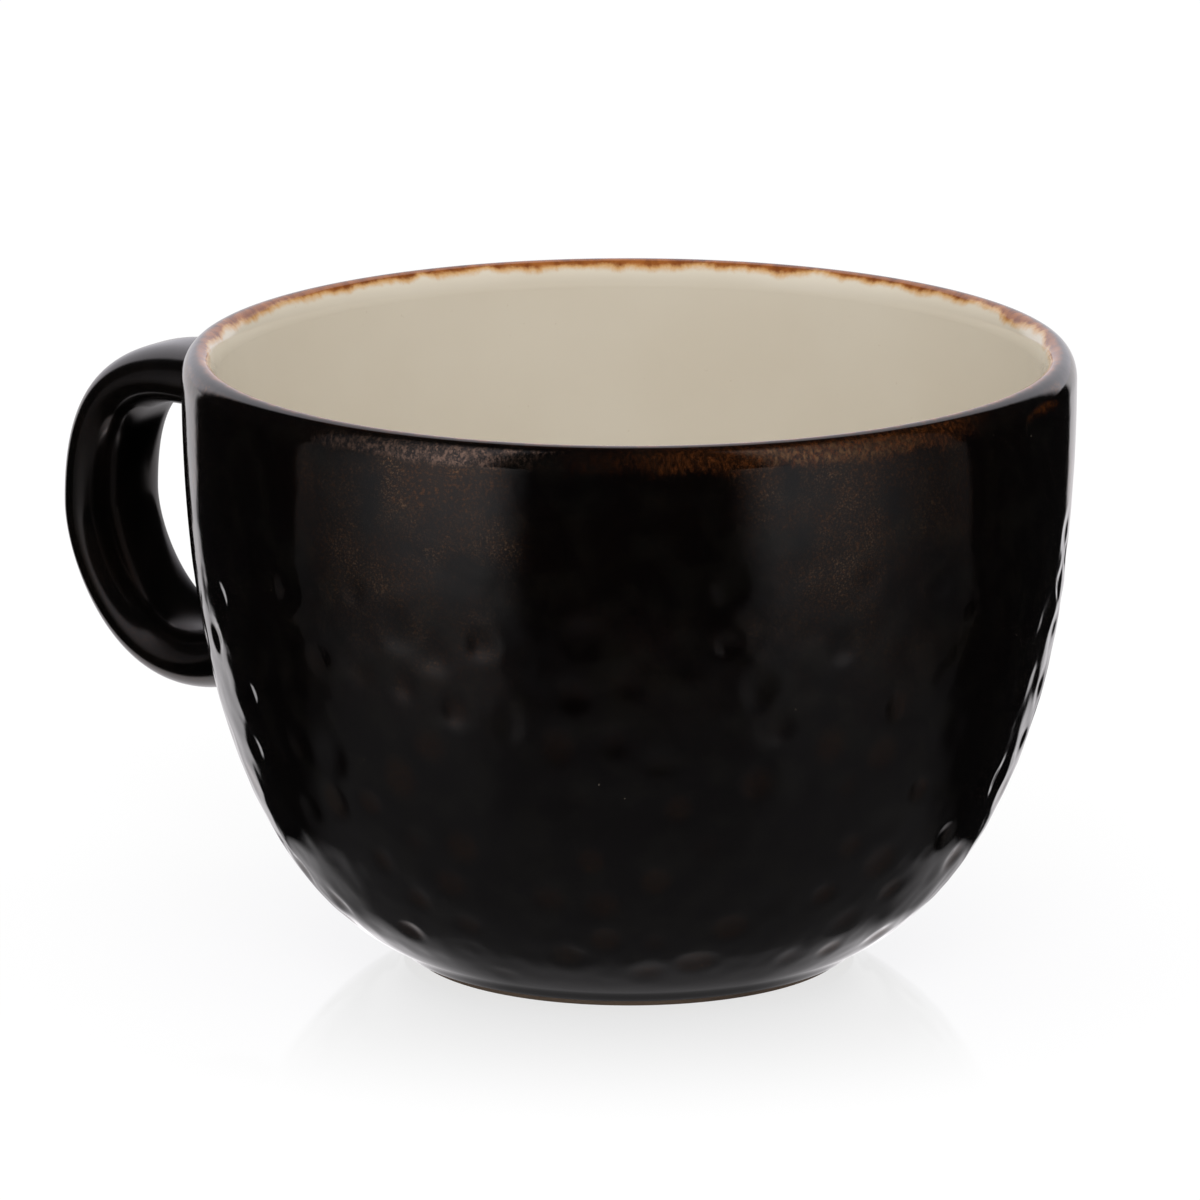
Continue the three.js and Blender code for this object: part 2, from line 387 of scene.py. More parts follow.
mug_middle = Vector((AXIS_X, 0, LAMP_AIM))
lamp_place = mug_middle + view_front * LAMP_FORWARD + Vector((0, 0, LAMP_LIFT))
lamp = placed("front lamp", bpy.data.lights.new("front lamp", "AREA"))
lamp.data.shape = "RECTANGLE"
lamp.data.size = LAMP_WIDTH
lamp.data.size_y = LAMP_HEIGHT
lamp.data.energy = LAMP_POWER
lamp.visible_glossy = False
aimed(lamp, lamp_place, mug_middle - lamp_place)
print("lamp at", [round(v, 2) for v in lamp.location])

# %% Black card
CARD_GAP = 1.1 * MM
CARD_PAST_EAR = 9.3 * MM
CARD_WIDTH = 36 * MM
CARD_ABOVE_TAIL = 3.6 * MM
CARD_HEIGHT = 33 * MM
HALF_CLEAR_TO = 8.2 * MM
BLACK_FROM = 13.7 * MM
OUTER_COVER = 0.55

ear_low, ear_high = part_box("handle_glaze")
card_left = ear_low.x - CARD_PAST_EAR
card_low = ear_low.z + CARD_ABOVE_TAIL
card_mesh = bpy.data.meshes.new("black card")
card_mesh.from_pydata([
    (card_left + across * CARD_WIDTH, ear_high.y + CARD_GAP, card_low + up * CARD_HEIGHT)
    for across, up in ((0, 0), (1, 0), (1, 1), (0, 1))
], [], [(0, 1, 2, 3)])

card_finish, dull = new_finish("black card")
card_x = coordinate(dull, dull.node("ShaderNodeTexCoord", output="Object"), "X")
inner_part = card_x.fade(ear_low.x + HALF_CLEAR_TO, ear_low.x + BLACK_FROM)
black = dull.node("ShaderNodeBsdfDiffuse", sockets={"Color": (0, 0, 0, 1)})
clear = dull.node("ShaderNodeBsdfTransparent")
surface(dull, mixed(dull, OUTER_COVER + (1 - OUTER_COVER) * inner_part, clear, black))
card_mesh.materials.append(card_finish)
card = placed("black card", card_mesh)
card.visible_camera = False
card.visible_diffuse = False
card.visible_shadow = False
card.visible_transmission = False
print("card is", round(CARD_WIDTH / MM), "by", round(CARD_HEIGHT / MM), "mm")

# %% [markdown]
# ## The outline of the bowl
# A thrown bowl is an outline turned about its axis, so the outline is the one thing to get right.
# It could be drawn by hand, but the wall is one smooth sweep from the foot to the lip, which a
# single cubic curve follows. The lip is half an ellipse, and the inside is the outside moved in by
# the thickness of the wall.

# %% Lines
def bezier(points, count):
    """Points along a cubic or quadratic curve."""
    points = np.array(points, float)
    t = np.linspace(0, 1, count)[:, None]
    order = len(points) - 1
    weights = [math.comb(order, k) * t ** k * (1 - t) ** (order - k) for k in range(order + 1)]
    return sum(w * p for w, p in zip(weights, points))


def headings(line):
    """The direction of a line at each of its points."""
    slopes = np.gradient(line, axis=0)
    return slopes / np.linalg.norm(slopes, axis=1)[:, None]


def moved_left(line, amount):
    """An open line moved to its left."""
    slopes = headings(line)
    return line + np.stack([-slopes[:, 1], slopes[:, 0]], axis=1) * amount


def distances(line):
    """How far along a line each of its points lies."""
    steps = np.linalg.norm(np.diff(line, axis=0), axis=1)
    return np.concatenate([[0], np.cumsum(steps)])


def respace(line, count):
    """The same line with evenly spaced points."""
    along = distances(line)
    at = np.linspace(0, along[-1], count)
    return np.stack([np.interp(at, along, line[:, k]) for k in range(line.shape[1])], axis=1)


# %% Outside of the bowl
RIM_RADIUS = (coat_high.x - coat_low.x) / 2
MUG_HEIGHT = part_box("rim_glaze")[1].z
LIP_THICKNESS = 4.2 * MM
LIP_ROUND = 3.4 * MM
FOOT_RADIUS = 27.5 * MM
FOOT_HEIGHT = 2.4 * MM
FOOT_FLARE = 2.8 * MM
WALL_RISE = math.radians(25)
BASE_FULLNESS = 0.33
SIDE_FULLNESS = 0.77
FINE_POINTS = 600

wall_foot = np.array([FOOT_RADIUS + FOOT_FLARE, FOOT_HEIGHT])
wall_top = np.array([RIM_RADIUS, MUG_HEIGHT - LIP_ROUND])
base_pull = (wall_top[0] - wall_foot[0]) * BASE_FULLNESS
side_pull = (wall_top[1] - wall_foot[1]) * SIDE_FULLNESS
wall_line = bezier([
    wall_foot,
    wall_foot + base_pull * np.array([math.cos(WALL_RISE), math.sin(WALL_RISE)]),
    wall_top - np.array([0, side_pull]),
    wall_top,
], count=FINE_POINTS)

around = np.linspace(0, math.pi, 240)
lip_line = np.stack([
    RIM_RADIUS - LIP_THICKNESS / 2 * (1 - np.cos(around)),
    wall_top[1] + LIP_ROUND * np.sin(around),
], axis=1)
print("bowl", round(2 * RIM_RADIUS / MM, 1), "mm wide,", round(MUG_HEIGHT / MM, 1), "mm high")

# %% Inside of the bowl
WALL_AT_FOOT = 6.6 * MM
FLOOR_ROUND = 5 * MM

thickness = np.linspace(WALL_AT_FOOT, LIP_THICKNESS, FINE_POINTS)[:, None]
inside_wall = moved_left(wall_line, thickness)[::-1]
inward = inside_wall[-1] - inside_wall[-2]
inward /= np.linalg.norm(inward)
floor_corner = inside_wall[-1] + inward * FLOOR_ROUND
floor_round = bezier([
    inside_wall[-1], floor_corner, floor_corner - np.array([FLOOR_ROUND, 0])], count=60)
floor_flat = np.linspace(floor_round[-1], [0, floor_corner[1]], 40)
inside_line = np.concatenate([inside_wall, floor_round[1:], floor_flat[1:]])
print("floor at", round(floor_corner[1] / MM, 1), "mm")

# %% [markdown]
# ## Turning an outline, and pressing the wall
# The outside of the real wall is full of shallow dents, about six millimetres across and less than
# half a millimetre deep, which break up every mirrored edge. A bump map would bend the light, but
# the outline would stay smooth, so the dents are pressed into the mesh. One Geometry Nodes tree does
# both jobs. It bends a grid round the axis along the outline, then scatters dents with a least
# spacing and pushes each point in by how near it is to its dent. Slow waves are added, and all of it
# is calmer near the handle.

# %% Inputs of the turning tree
turning = bpy.data.node_groups.new("turned and pressed", "GeometryNodeTree")
turning.is_modifier = True
inlets = {}
for name, kind in (("Outline", "Geometry"), ("Sides", "Int"), ("Rows", "Int"),
                   ("Dent Spacing", "Float"), ("Dent Radius", "Float"), ("Dent Depth", "Float"),
                   ("Waviness", "Float"), ("Seed", "Int"), ("Finish", "Material")):
    inlets[name] = turning.interface.new_socket(
        name=name, in_out="INPUT", socket_type="NodeSocket" + kind)
turning.interface.new_socket(name="Geometry", in_out="OUTPUT", socket_type="NodeSocketGeometry")

wheel = Tree(turning)
entry = turning.nodes.new("NodeGroupInput")
given = {name: Signal(wheel, entry.outputs[name]) for name in inlets}
print("turning tree takes", ", ".join(inlets))

# %% A grid bent round the axis
def from_outline(data_type, value):
    """A value of the outline's point that belongs to the grid's row."""
    return wheel.node("GeometryNodeSampleIndex", {"data_type": data_type, "domain": "POINT"},
                      {"Geometry": given["Outline"], "Value": value, "Index": row})


def kept(geometry, name, value):
    """The geometry with a value written to each of its points."""
    return wheel.node("GeometryNodeStoreNamedAttribute", {"data_type": "FLOAT", "domain": "POINT"},
                      {"Geometry": geometry, "Name": name, "Value": value})


def read(name):
    """A value that was written to each point."""
    return wheel.node("GeometryNodeInputNamedAttribute", {"data_type": "FLOAT"}, {"Name": name})


SEAM_MERGE = 1e-6

shape = wheel.node("GeometryNodeMeshGrid", sockets={
    "Size X": 1.0, "Size Y": 1.0, "Vertices X": given["Sides"] + 1, "Vertices Y": given["Rows"]})
flat = wheel.node("GeometryNodeInputPosition")
row = wheel.node("ShaderNodeMath", {"operation": "ROUND"},
                 {0: (coordinate(wheel, flat, "Y") + 0.5) * (given["Rows"] - 1)})
for name in ("crest", "pressed"):
    shape = kept(shape, name, from_outline("FLOAT", read(name)))

outline_place = from_outline("FLOAT_VECTOR", wheel.node("GeometryNodeInputPosition"))
reach = coordinate(wheel, outline_place, "X")
turn = (coordinate(wheel, flat, "X") + 0.5) * (2 * math.pi)
cosine = wheel.node("ShaderNodeMath", {"operation": "COSINE"}, {0: turn})
sine = wheel.node("ShaderNodeMath", {"operation": "SINE"}, {0: turn})
bent = wheel.node("ShaderNodeCombineXYZ", sockets={
    "X": reach * cosine + AXIS_X, "Y": reach * sine, "Z": coordinate(wheel, outline_place, "Z")})
shape = wheel.node("GeometryNodeSetPosition", sockets={"Geometry": shape, "Position": bent})
shape = wheel.node("GeometryNodeMergeByDistance", sockets={"Geometry": shape, "Distance": SEAM_MERGE})
print("turning tree with the bent grid has", len(turning.nodes), "nodes")

# %% Dents in the turned wall
DENTED_FROM = 0.3
MOST_DENTS = 120000.0

pressed = read("pressed")
dent_middles = wheel.node("GeometryNodeDistributePointsOnFaces", {"distribute_method": "POISSON"}, {
    "Mesh": shape, "Selection": pressed > DENTED_FROM, "Distance Min": given["Dent Spacing"],
    "Density Max": MOST_DENTS, "Seed": given["Seed"]})
here = wheel.node("GeometryNodeInputPosition")
nearest = wheel.node("GeometryNodeSampleNearest", {"domain": "POINT"},
                     {"Geometry": dent_middles, "Sample Position": here})
middle = wheel.node("GeometryNodeSampleIndex", {"data_type": "FLOAT_VECTOR", "domain": "POINT"}, {
    "Geometry": dent_middles, "Value": wheel.node("GeometryNodeInputPosition"), "Index": nearest})


def chance(low, high, seed):
    """One random number for each dent."""
    return wheel.node("FunctionNodeRandomValue", {"data_type": "FLOAT"}, {
        "Min": low, "Max": high, "ID": nearest, "Seed": seed}, output=1)


apart = vector_sum(wheel, "SUBTRACT", here, middle)
squeeze = wheel.node("ShaderNodeCombineXYZ", sockets={"X": 1.0, "Y": 1.0, "Z": chance(0.75, 1.1, 3)})
distance = length(wheel, vector_sum(wheel, "MULTIPLY", apart, squeeze))
share = distance / (given["Dent Radius"] * chance(0.75, 1.15, 4))
hollow = (1 - share * share).at_least(0.0)
hollow = hollow * hollow * pressed
depth = hollow * chance(0.35, 1.0, 5) * given["Dent Depth"]
shape = kept(shape, "dent", hollow * chance(0.0, 1.0, 6))
print("turning tree with dents has", len(turning.nodes), "nodes")

# %% Slow waves, and the wall pushed in
CALM_NEAR_HANDLE = 0.3
CALM_AT = 0.8
LIVELY_AT = 0.5


def wave(scale, detail):
    """Slow waves over the wall, out and in."""
    return wheel.node("ShaderNodeTexNoise", {"noise_dimensions": "3D"},
                      {"Vector": here, "Scale": scale, "Detail": detail}) - 0.5


swell = (wave(90.0, 2.0) + wave(210.0, 1.0) * 0.25) * given["Waviness"] * pressed
off_handle = coordinate(wheel, here, "X").fade(
    AXIS_X - RIM_RADIUS * CALM_AT, AXIS_X - RIM_RADIUS * LIVELY_AT)
strength = CALM_NEAR_HANDLE + (1 - CALM_NEAR_HANDLE) * off_handle
push = wheel.node("ShaderNodeVectorMath", {"operation": "SCALE"}, {
    0: wheel.node("GeometryNodeInputNormal"), "Scale": (swell - depth) * strength})
shape = wheel.node("GeometryNodeSetPosition", sockets={"Geometry": shape, "Offset": push})
shape = wheel.node("GeometryNodeSetShadeSmooth", sockets={"Geometry": shape})
shape = wheel.node("GeometryNodeRealizeInstances", sockets={"Geometry": shape})
shape = wheel.node("GeometryNodeSetMaterial", sockets={"Geometry": shape, "Material": given["Finish"]})
leave = turning.nodes.new("NodeGroupOutput")
turning.links.new(shape.socket, leave.inputs["Geometry"])
print("whole turning tree has", len(turning.nodes), "nodes")

# %% From outline to piece
NO_DENTS = {"Dent Spacing": 7.5 * MM, "Dent Radius": 3 * MM, "Dent Depth": 0.0,
            "Waviness": 0.0, "Seed": 1}


def triangles(mesh):
    """How many triangles a mesh has once its faces are split."""
    return sum(len(p.vertices) - 2 for p in mesh.polygons)


def turned(name, line, crest, pressing, sides, finish, dents):
    """Turns a closed outline into a plain mesh piece."""
    points = np.stack([line[:, 0], np.zeros(len(line)), line[:, 1]], axis=1)
    mesh = bpy.data.meshes.new(name)
    mesh.from_pydata(points.tolist(), [(k, k + 1) for k in range(len(line) - 1)], [])
    for label, values in (("crest", crest), ("pressed", pressing)):
        written = mesh.attributes.new(label, "FLOAT", "POINT")
        written.data.foreach_set("value", np.asarray(values, np.float32))
    piece = placed(name, mesh)
    modifier = piece.modifiers.new("turn", "NODES")
    modifier.node_group = turning
    for label, value in {"Sides": sides, "Rows": len(line), "Finish": finish, **dents}.items():
        modifier[inlets[label].identifier] = value
    graph = bpy.context.evaluated_depsgraph_get()
    solid = bpy.data.meshes.new_from_object(piece.evaluated_get(graph), depsgraph=graph)
    piece.modifiers.clear()
    piece.data = solid
    solid.name = name
    print(name, "has", triangles(solid), "triangles")
    return piece


# %% [markdown]
# ## The colours of the glazes
# The outside was dipped in a dark iron glaze. Where it thins out, over the lip and just under it,
# it breaks to amber and rust, and it runs a little way down the inside as small drips over the
# cream. An image could be painted for that, but all of it depends on how far a point is from the
# crest of the lip along the surface. So each row of the outline carries that distance, and one
# function gives both glazes their colour from it.

# %% Helpers for finishes
def tone(red, green, blue):
    """A screen colour of 0 to 255 a channel as the linear colour that nodes take."""
    linear = [c / 12.92 if c <= 0.04045 else ((c + 0.055) / 1.055) ** 2.4
              for c in (red / 255, green / 255, blue / 255)]
    return (*linear, 1.0)


def noise(tree, scale, detail, stretch=(1, 1, 1), rough=0.5):
    """Noise on the piece's own coordinates, a number of cells to the metre."""
    place = vector_sum(tree, "MULTIPLY", tree.node("ShaderNodeTexCoord", output="Object"), stretch)
    return tree.node("ShaderNodeTexNoise", {"noise_dimensions": "3D"}, {
        "Vector": place, "Scale": scale, "Detail": detail, "Roughness": rough})


def attribute(tree, name):
    """A value that the piece's mesh carries."""
    return tree.node("ShaderNodeAttribute", {"attribute_name": name}, output="Fac")


def crest_distance(tree):
    """Millimetres from the crest of the lip along the surface: below zero outside, above it inside."""
    return attribute(tree, "crest") * 1000


def towards(tree, degrees):
    """1 on the side of the wall that is turned this far to the right of the camera, -1 opposite."""
    turn = math.radians(degrees)
    side = (view_front * math.cos(turn) + view_right * math.sin(turn)) / RIM_RADIUS
    return reach_towards(tree, from_axis(tree), side)


# %% Colours of the glazes
def dark_ground(tree):
    """The thick outside glaze: near black, a little cloudy, with a few pale specks."""
    clouds = noise(tree, 230, 2.0).fade(0.42, 0.7)
    dark = blend(tree, clouds, tone(3, 2, 2), tone(6, 5, 4))
    return blend(tree, noise(tree, 1900, 1.0).fade(0.83, 0.86) * 0.6, dark, tone(120, 110, 98))


def cream_ground(tree):
    """The inside glaze: an even cream with faint sandy specks."""
    clouds = noise(tree, 34, 3.0).fade(0.3, 0.7)
    cream = blend(tree, clouds, tone(196, 187, 171), tone(200, 192, 177))
    return blend(tree, noise(tree, 1500, 2.0).fade(0.74, 0.8) * 0.22, cream, tone(160, 140, 112))


def thin_side(tree, patches):
    """Where the glaze under the lip is thin: right of the camera, and in one small spot past that."""
    side = towards(tree, 30) + (patches - 0.5) * 0.12
    thin = 0.25 * side.fade(0.76, 0.86) + 0.75 * side.fade(0.85, 0.98)
    thin = thin * (1 - towards(tree, 65).fade(0.915, 0.975))
    return thin.at_least(towards(tree, 66).fade(0.994, 0.998))


def glaze_colours(tree):
    """The colour of both glazes by distance from the crest, from the outside in."""
    crest = crest_distance(tree)
    scallops = noise(tree, 160, 2.0, (1, 1, 0.12))
    drips = noise(tree, 520, 4.0, (1, 1, 0.12), 0.6)
    patches = noise(tree, 55, 3.0, (1, 1, 0.4))
    fibres = noise(tree, 1900, 4.0, (1, 1, 0.6), 0.7)

    ragged = crest + (fibres - 0.5) * 1.6 + (noise(tree, 260, 3.0) - 0.5) * 3.0
    fringe = ragged.fade(-4.4, -2.4) * (1 - crest.fade(-1.3, -0.4))
    amber = blend(tree, fibres.fade(0.4, 0.75), tone(22, 9, 3), tone(66, 33, 11))
    colour = blend(tree, fringe * thin_side(tree, patches), dark_ground(tree), amber)
    lip = blend(tree, fibres.fade(0.35, 0.65), tone(14, 9, 7), tone(40, 20, 11))
    colour = blend(tree, (crest + (patches - 0.5)).fade(-1.0, -0.1), colour, lip)
    copper = blend(tree, drips.fade(0.3, 0.7), tone(108, 56, 24), tone(144, 86, 40))
    colour = blend(tree, (crest + (drips - 0.5) * 1.2).fade(-0.3, 0.7), colour, copper)

    run = crest + (scallops - 0.5) * 2.8 + (drips - 0.5) * 1.2 + (fibres - 0.5) * 0.6
    colour = blend(tree, run.fade(1.1, 1.8), colour, tone(186, 144, 94))
    return blend(tree, run.fade(1.5, 2.5), colour, cream_ground(tree))


# %% [markdown]
# ## The dark glaze and its iron crystals
# Iron crystallises in such a glaze as a fine brown dust. The crystals mirror light in their own
# colour, so they show as golden grain where the wall mirrors a pale panel and vanish in the dark
# room. A brown base colour would show in the dark room too, so a brown metal is mixed into the
# black gloss by noise instead. The grain gathers in clusters on the upper wall and in the dents,
# and is strongest as a golden fringe under the lip.

# %% Iron crystals
def gloss(tree, colour, roughness, normal, ior=1.5, metallic=0.0):
    """The shader of one glaze, clay or metal."""
    return tree.node("ShaderNodeBsdfPrincipled", sockets={
        "Base Color": colour, "Roughness": roughness, "Normal": normal, "IOR": ior, "Metallic": metallic})


def with_iron(tree, glaze, amount, colour, roughness, normal):
    """A glaze with fine iron crystals in it, which mirror light in their own brown."""
    return mixed(tree, amount, glaze, gloss(tree, colour, roughness, normal, metallic=1.0))


dark_glaze, tree = new_finish("dark glaze")
crest = crest_distance(tree)
specks = noise(tree, 2500, 3.0, rough=0.7).fade(0.5, 0.68)
flecks = noise(tree, 1700, 3.0, (1, 1, 0.7), 0.7).fade(0.42, 0.66)
clusters = noise(tree, 75, 4.0, rough=0.6).fade(0.36, 0.62)
small_clusters = noise(tree, 130, 4.0, rough=0.6).fade(0.38, 0.66)
dusting = noise(tree, 3600, 2.0, rough=0.7).fade(0.5, 0.7) * small_clusters

upper_wall = crest.fade(-44, -10) * (1 - crest.fade(-1.6, -0.8)) * clusters
in_dents = attribute(tree, "dent").fade(0.02, 0.6) * (1 - crest.fade(-40, -24))
ragged = crest + (noise(tree, 300, 2.0) - 0.5) * 2
fringe = ragged.fade(-4.0, -3.0) * (1 - crest.fade(-1.4, -0.5))
facing = towards(tree, -2).fade(0.69, 0.78)
under_lip = fringe * facing * (1 - 0.9 * towards(tree, 3).fade(0.955, 0.985))

crystals = upper_wall * (0.06 + 0.4 * specks + 0.65 * dusting) + in_dents * (0.08 + 0.2 * specks)
crystals = crystals.at_least(under_lip * flecks * 0.55)
brown = blend(tree, dusting, tone(152, 105, 72), tone(190, 157, 124))
golden = blend(tree, towards(tree, 60).fade(0.5, 0.8), tone(214, 176, 152), tone(206, 158, 112))
crystal_colour = blend(tree, under_lip, brown, golden)
print("crystals have", len(dark_glaze.node_tree.nodes), "nodes")

# %% Dark glaze
GLAZE_IOR = 1.6


def uneven(tree, strength, deep, height):
    """A slightly uneven surface, as a normal for its shader."""
    return tree.node("ShaderNodeBump", sockets={"Strength": strength, "Distance": deep, "Height": height})


grain = noise(tree, 2400, 3.0) * (0.05 + 0.4 * under_lip)
relief = uneven(tree, 0.3, 0.1 * MM, noise(tree, 240, 2.0) + grain)
glaze = gloss(tree, glaze_colours(tree), 0.03 + noise(tree, 500, 3.0) * 0.08, relief, GLAZE_IOR)
surface(tree, with_iron(tree, glaze, crystals, crystal_colour, 0.1 + under_lip * 0.06, relief))
print("dark glaze has", len(dark_glaze.node_tree.nodes), "nodes")

# %% [markdown]
# ## The dark coat
# The coat covers the outside from just above the foot, where it ends in a small bead, over the lip.
# It is a closed shell: the outline runs up the outside and back down along the clay. The back lies
# deeper where the wall is pressed, so that the clay never shows through a dent. The upper wall and
# the lip stay smooth, as in the photograph. One very short row at the end keeps the shading level
# where the coat meets the liner.

# %% Coat outline
GLAZE = 0.4 * MM
DRY_FOOT = 1.0 * MM
WALL_ROWS = 126
LIP_ROWS = 24
FOOT_ROWS = 4
BACK_ROWS = 14
SEAM_STEP = 0.03 * MM
SMOOTH_TOP = 13 * MM
TOP_FADE = 14 * MM
SMOOTH_FOOT = 3.2 * MM
FOOT_FADE = 4 * MM
ROOM_FOR_DENTS = 1.0 * MM

wall_rows = respace(wall_line, WALL_ROWS)
lip_rows = respace(lip_line, LIP_ROWS)
lip_rows = np.insert(lip_rows, -1, lip_rows[-1] + [0, SEAM_STEP], axis=0)
dry_line = np.array([FOOT_RADIUS + FOOT_FLARE * DRY_FOOT / FOOT_HEIGHT, DRY_FOOT])
foot_rows = respace(np.stack([dry_line, wall_foot]), FOOT_ROWS)
outside = np.concatenate([foot_rows[:-1], wall_rows, lip_rows[1:]])
crest_row = int(np.argmax(outside[:, 1]))
below_top = np.clip((MUG_HEIGHT - outside[:, 1] - SMOOTH_TOP) / TOP_FADE, 0, 1)
above_foot = np.clip((outside[:, 1] - SMOOTH_FOOT) / FOOT_FADE, 0, 1)
outside_pressing = np.where(np.arange(len(outside)) < crest_row, below_top * above_foot, 0)

under = moved_left(outside, GLAZE + outside_pressing[:, None] * ROOM_FOR_DENTS)
back = under[::-1][np.linspace(0, len(under) - 1, BACK_ROWS).round().astype(int)]
bead_turn = np.linspace(0, math.pi, 6)[1:-1, None]
bead_centre = (outside[0] + under[0]) / 2
bead_drop = headings(outside)[0] * GLAZE / 2
bead = bead_centre + (under[0] - bead_centre) * np.cos(bead_turn) - bead_drop * np.sin(bead_turn)
coat_line = np.concatenate([outside, back, bead, outside[:1]])
print("coat outline has", len(coat_line), "points, the crest is number", crest_row)

# %% Coat piece
FAR_FROM_CREST = 50 * MM
COAT_SIDES = 540
COAT_DENTS = {"Dent Spacing": 6 * MM, "Dent Radius": 3.1 * MM, "Dent Depth": 0.42 * MM,
              "Waviness": 0.8 * MM, "Seed": 7}

along = distances(outside)
outside_crest = along - along[crest_row]
coat_crest = np.concatenate([
    outside_crest, np.full(len(back) + len(bead), -FAR_FROM_CREST), outside_crest[:1]])
coat_pressing = np.concatenate([outside_pressing, np.zeros(len(coat_line) - len(outside))])
coat = turned("dark_coat", coat_line, coat_crest, coat_pressing, COAT_SIDES, dark_glaze, COAT_DENTS)
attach(coat, "root")
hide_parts("outside_glaze", "rim_glaze")

# %% [markdown]
# ## The cream liner
# The inside was filled with a cream glaze and poured out, which leaves an even, smooth coat. It
# needs no dents, so the same tree turns it with the pressing left at zero. It uses the same colours
# by distance from the crest, so that no seam shows where it meets the coat.

# %% Cream glaze
cream_glaze, tree = new_finish("cream glaze")
relief = uneven(tree, 0.2, 0.06 * MM, noise(tree, 260, 2.0))
surface(tree, gloss(tree, glaze_colours(tree), 0.08 + noise(tree, 400, 3.0) * 0.1, relief, GLAZE_IOR))
print("cream glaze has", len(cream_glaze.node_tree.nodes), "nodes")

# %% Liner piece
INSIDE_ROWS = 110
LINER_BACK_ROWS = 40
LINER_SIDES = 256

inside_rows = respace(inside_line, INSIDE_ROWS)
inside_rows[-1, 0] = 0
inside_rows = np.insert(inside_rows, 1, inside_rows[0] - [0, SEAM_STEP], axis=0)
liner_under = moved_left(inside_rows, GLAZE)
liner_under[-1, 0] = 0
liner_back = liner_under[::-1][np.linspace(0, INSIDE_ROWS, LINER_BACK_ROWS).round().astype(int)]
liner_line = np.concatenate([inside_rows, liner_back, inside_rows[:1]])
inside_crest = outside_crest[-1] + distances(inside_rows)
liner_crest = np.concatenate([
    inside_crest, np.full(len(liner_back), FAR_FROM_CREST), inside_crest[:1]])
smooth = np.zeros(len(liner_line))
liner = turned("cream_liner", liner_line, liner_crest, smooth, LINER_SIDES, cream_glaze, NO_DENTS)
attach(liner, "root")
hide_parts("inside_glaze")

# %% [markdown]
# ## The clay
# Only the foot ring and the shallow recess under it are bare: the potter wipes them clean so that
# the mug doesn't stick to the kiln shelf. The clay could be a mere ring, but it is turned as a
# whole solid that fills the room between the two glazes, with a sandy grain.

# %% Bare clay
CLAY_IOR = 1.45

bare_clay, tree = new_finish("bare clay")
sand = noise(tree, 1700, 4.0, rough=0.7)
body = blend(tree, noise(tree, 90, 3.0).fade(0.3, 0.7), tone(98, 82, 69), tone(118, 100, 84))
body = blend(tree, sand.fade(0.6, 0.75) * 0.6, body, tone(70, 54, 42))
relief = uneven(tree, 0.5, 0.2 * MM, sand)
surface(tree, gloss(tree, body, 0.75 + sand * 0.2, relief, CLAY_IOR))
print("bare clay has", len(bare_clay.node_tree.nodes), "nodes")

# %% Clay piece
RING_WIDTH = 4.6 * MM
RECESS = 1.7 * MM
FOOT_EDGE = 0.5 * MM
CLAY_SIDES = 192

wall_part = np.arange(0, len(foot_rows) + len(wall_rows) - 1, 3)
lip_part = np.arange(len(outside) - len(lip_rows), len(outside))
clay_outside = under[np.union1d(wall_part, lip_part)]
edge_turn = np.linspace(-math.pi / 2, -0.3, 5)
foot_edge = np.stack([
    FOOT_RADIUS - FOOT_EDGE * (1 - np.cos(edge_turn)),
    FOOT_EDGE * (1 + np.sin(edge_turn)),
], axis=1)
ring_inner = FOOT_RADIUS - RING_WIDTH
recess_side = bezier([[ring_inner - 2 * RECESS, RECESS], [ring_inner - RECESS, RECESS],
                      [ring_inner - RECESS * 0.6, 0], [ring_inner, 0]], count=10)
recess_roof = respace(np.array([[0, RECESS], [ring_inner - 2 * RECESS, RECESS]]), count=12)
clay_line = np.concatenate([recess_roof[:-1], recess_side, foot_edge, clay_outside, liner_under[1:]])
smooth = np.zeros(len(clay_line))
clay = turned("clay_body", clay_line, smooth, smooth, CLAY_SIDES, bare_clay, NO_DENTS)
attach(clay, "root")
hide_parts("bowl")

# %% [markdown]
# ## The handle
# The handle is a pulled strap with half-round edges. It leaves the wall level under the lip, rounds
# the ear and grows stouter along its tail. Its ends were pressed on with wet slip and smoothed, so
# each one opens into a small flare. A curve with a bevel would give the strap but not the flare, so
# rings are placed along the path in code. The last rings open out and are dropped onto the dented
# wall with a ray, so that they land on it everywhere. The glaze on it is the same dark gloss, plain
# but for a little of the iron dust.

# %% Handle path
PROJECTION = 29.4 * MM
TOP_DROP = 12.5 * MM
SPAN = 29.4 * MM
STRAP_THICKNESS = 7.6 * MM
TAIL_ANGLE = math.radians(41)
EAR_LEVEL = 0.58
TOP_PULL = 0.3
EAR_PULL = 0.83
FALL_PULL = 0.29
TAIL_PULL = 0.84
PATH_POINTS = 2000


def on_clay(level):
    """The point of the clay's outside at a level."""
    return np.array([np.interp(level, wall_line[:, 1], wall_line[:, 0]) - GLAZE, level])


top = on_clay(MUG_HEIGHT - TOP_DROP)
tail = on_clay(MUG_HEIGHT - TOP_DROP - SPAN)
ear = np.array([RIM_RADIUS + PROJECTION - STRAP_THICKNESS / 2, top[1] - SPAN * EAR_LEVEL])
tail_reach = (ear[0] - tail[0]) * TAIL_PULL
below_tail = tail + tail_reach * np.array([math.cos(TAIL_ANGLE), -math.sin(TAIL_ANGLE)])
beyond_top = top + [(ear[0] - top[0]) * TOP_PULL, 0]
upper = bezier([top, beyond_top, ear + [0, SPAN * EAR_PULL], ear], count=300)
lower = bezier([ear, ear - [0, SPAN * FALL_PULL], below_tail, tail], count=300)
path = respace(np.concatenate([upper, lower[1:]]), PATH_POINTS)
path_length = distances(path)[-1]
print("handle path is", round(path_length / MM, 1), "mm long")

